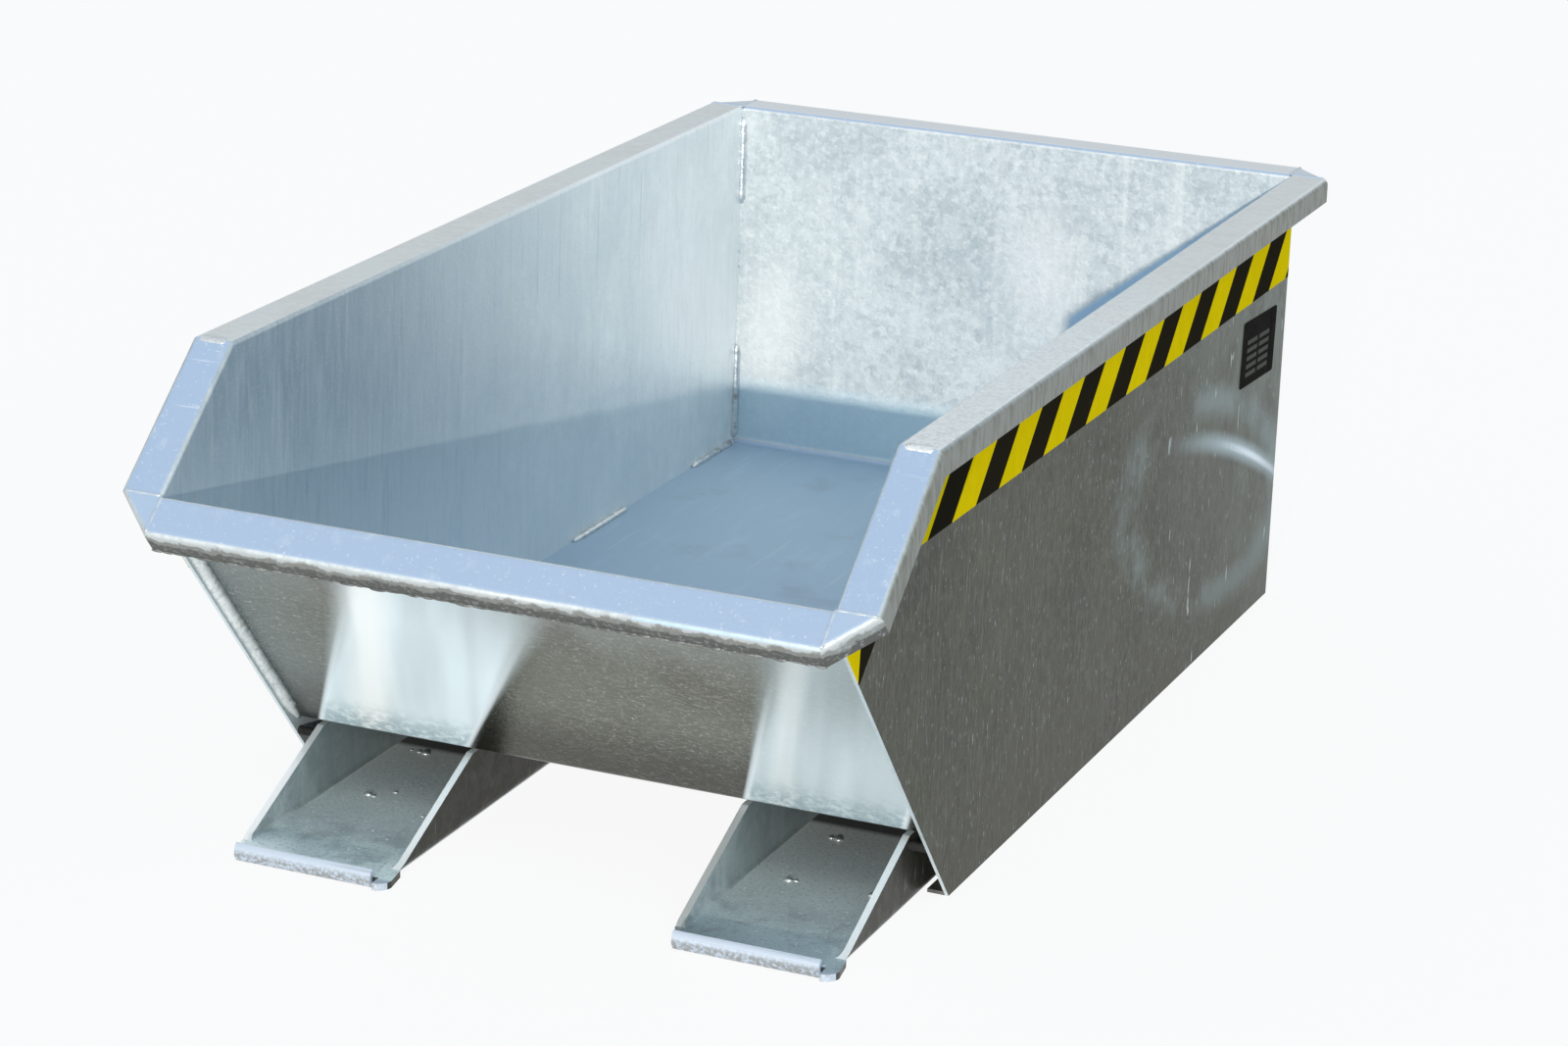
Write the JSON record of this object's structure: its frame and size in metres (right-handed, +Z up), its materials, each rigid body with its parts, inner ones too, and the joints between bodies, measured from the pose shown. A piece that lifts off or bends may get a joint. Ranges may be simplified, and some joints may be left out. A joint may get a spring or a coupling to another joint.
{
  "type": "tipping hopper",
  "caption": "Galvanised steel tipping hopper: rimmed tub with sloping front and side skirts, hinged on a fork-shoe base with a rear latch.",
  "frame": {"origin": "middle of the overall length and width, on the ground", "axes": "+X to the right seen from the front, +Y to the back where the forks go in, +Z up"},
  "size_m": [0.862, 1.5926, 0.565],
  "materials": {
    "tub_zinc": "hot-dip galvanised sheet, spangled, dusty and streaked",
    "base_zinc": "hot-dip galvanised plate, bright edges, zinc runs",
    "lever_zinc": "hot-dip galvanised flat bar, rubbed at the hand end",
    "pin_steel": "zinc-plated round bar, rubbed",
    "hinge_steel": "dark greased round bar"
  },
  "bodies": {
    "base": {"fork_shoe_left": "base_zinc", "fork_shoe_right": "base_zinc", "pocket_cover_left": "base_zinc", "pocket_cover_right": "base_zinc", "cross_tube_front": "base_zinc", "cross_tube_rear": "base_zinc", "latch_plate": "base_zinc", "latch_pivot": "pin_steel", "latch_stop": "pin_steel", "latch_washer": "pin_steel", "latch_split_pin": "pin_steel"},
    "tub": {"tub_sheet": "tub_zinc", "side_wall_left": "tub_zinc", "side_wall_right": "tub_zinc", "rim_corner_back_left": "tub_zinc", "rim_corner_back_right": "tub_zinc", "rim_corner_front_left": "tub_zinc", "rim_corner_front_right": "tub_zinc", "foot_strip_left": "tub_zinc", "foot_strip_right": "tub_zinc", "hinge_pin_left": "hinge_steel", "hinge_pin_right": "hinge_steel", "striker_plate": "tub_zinc", "striker_stud": "pin_steel", "striker_cap": "pin_steel"},
    "latch": {"latch_lever": "lever_zinc"}
  },
  "joints": [
    {"name": "tub_tip", "type": "hinge", "parent": "base", "child": "tub", "pos_m": [0, -0.46782, 0.076], "axis": [1, 0, 0], "range_deg": [0, 64]},
    {"name": "latch_swing", "type": "hinge", "parent": "base", "child": "latch", "pos_m": [-0.03859, 0.75632, 0.052], "axis": [0, 1, 0], "range_deg": [0, 27]}
  ]
}
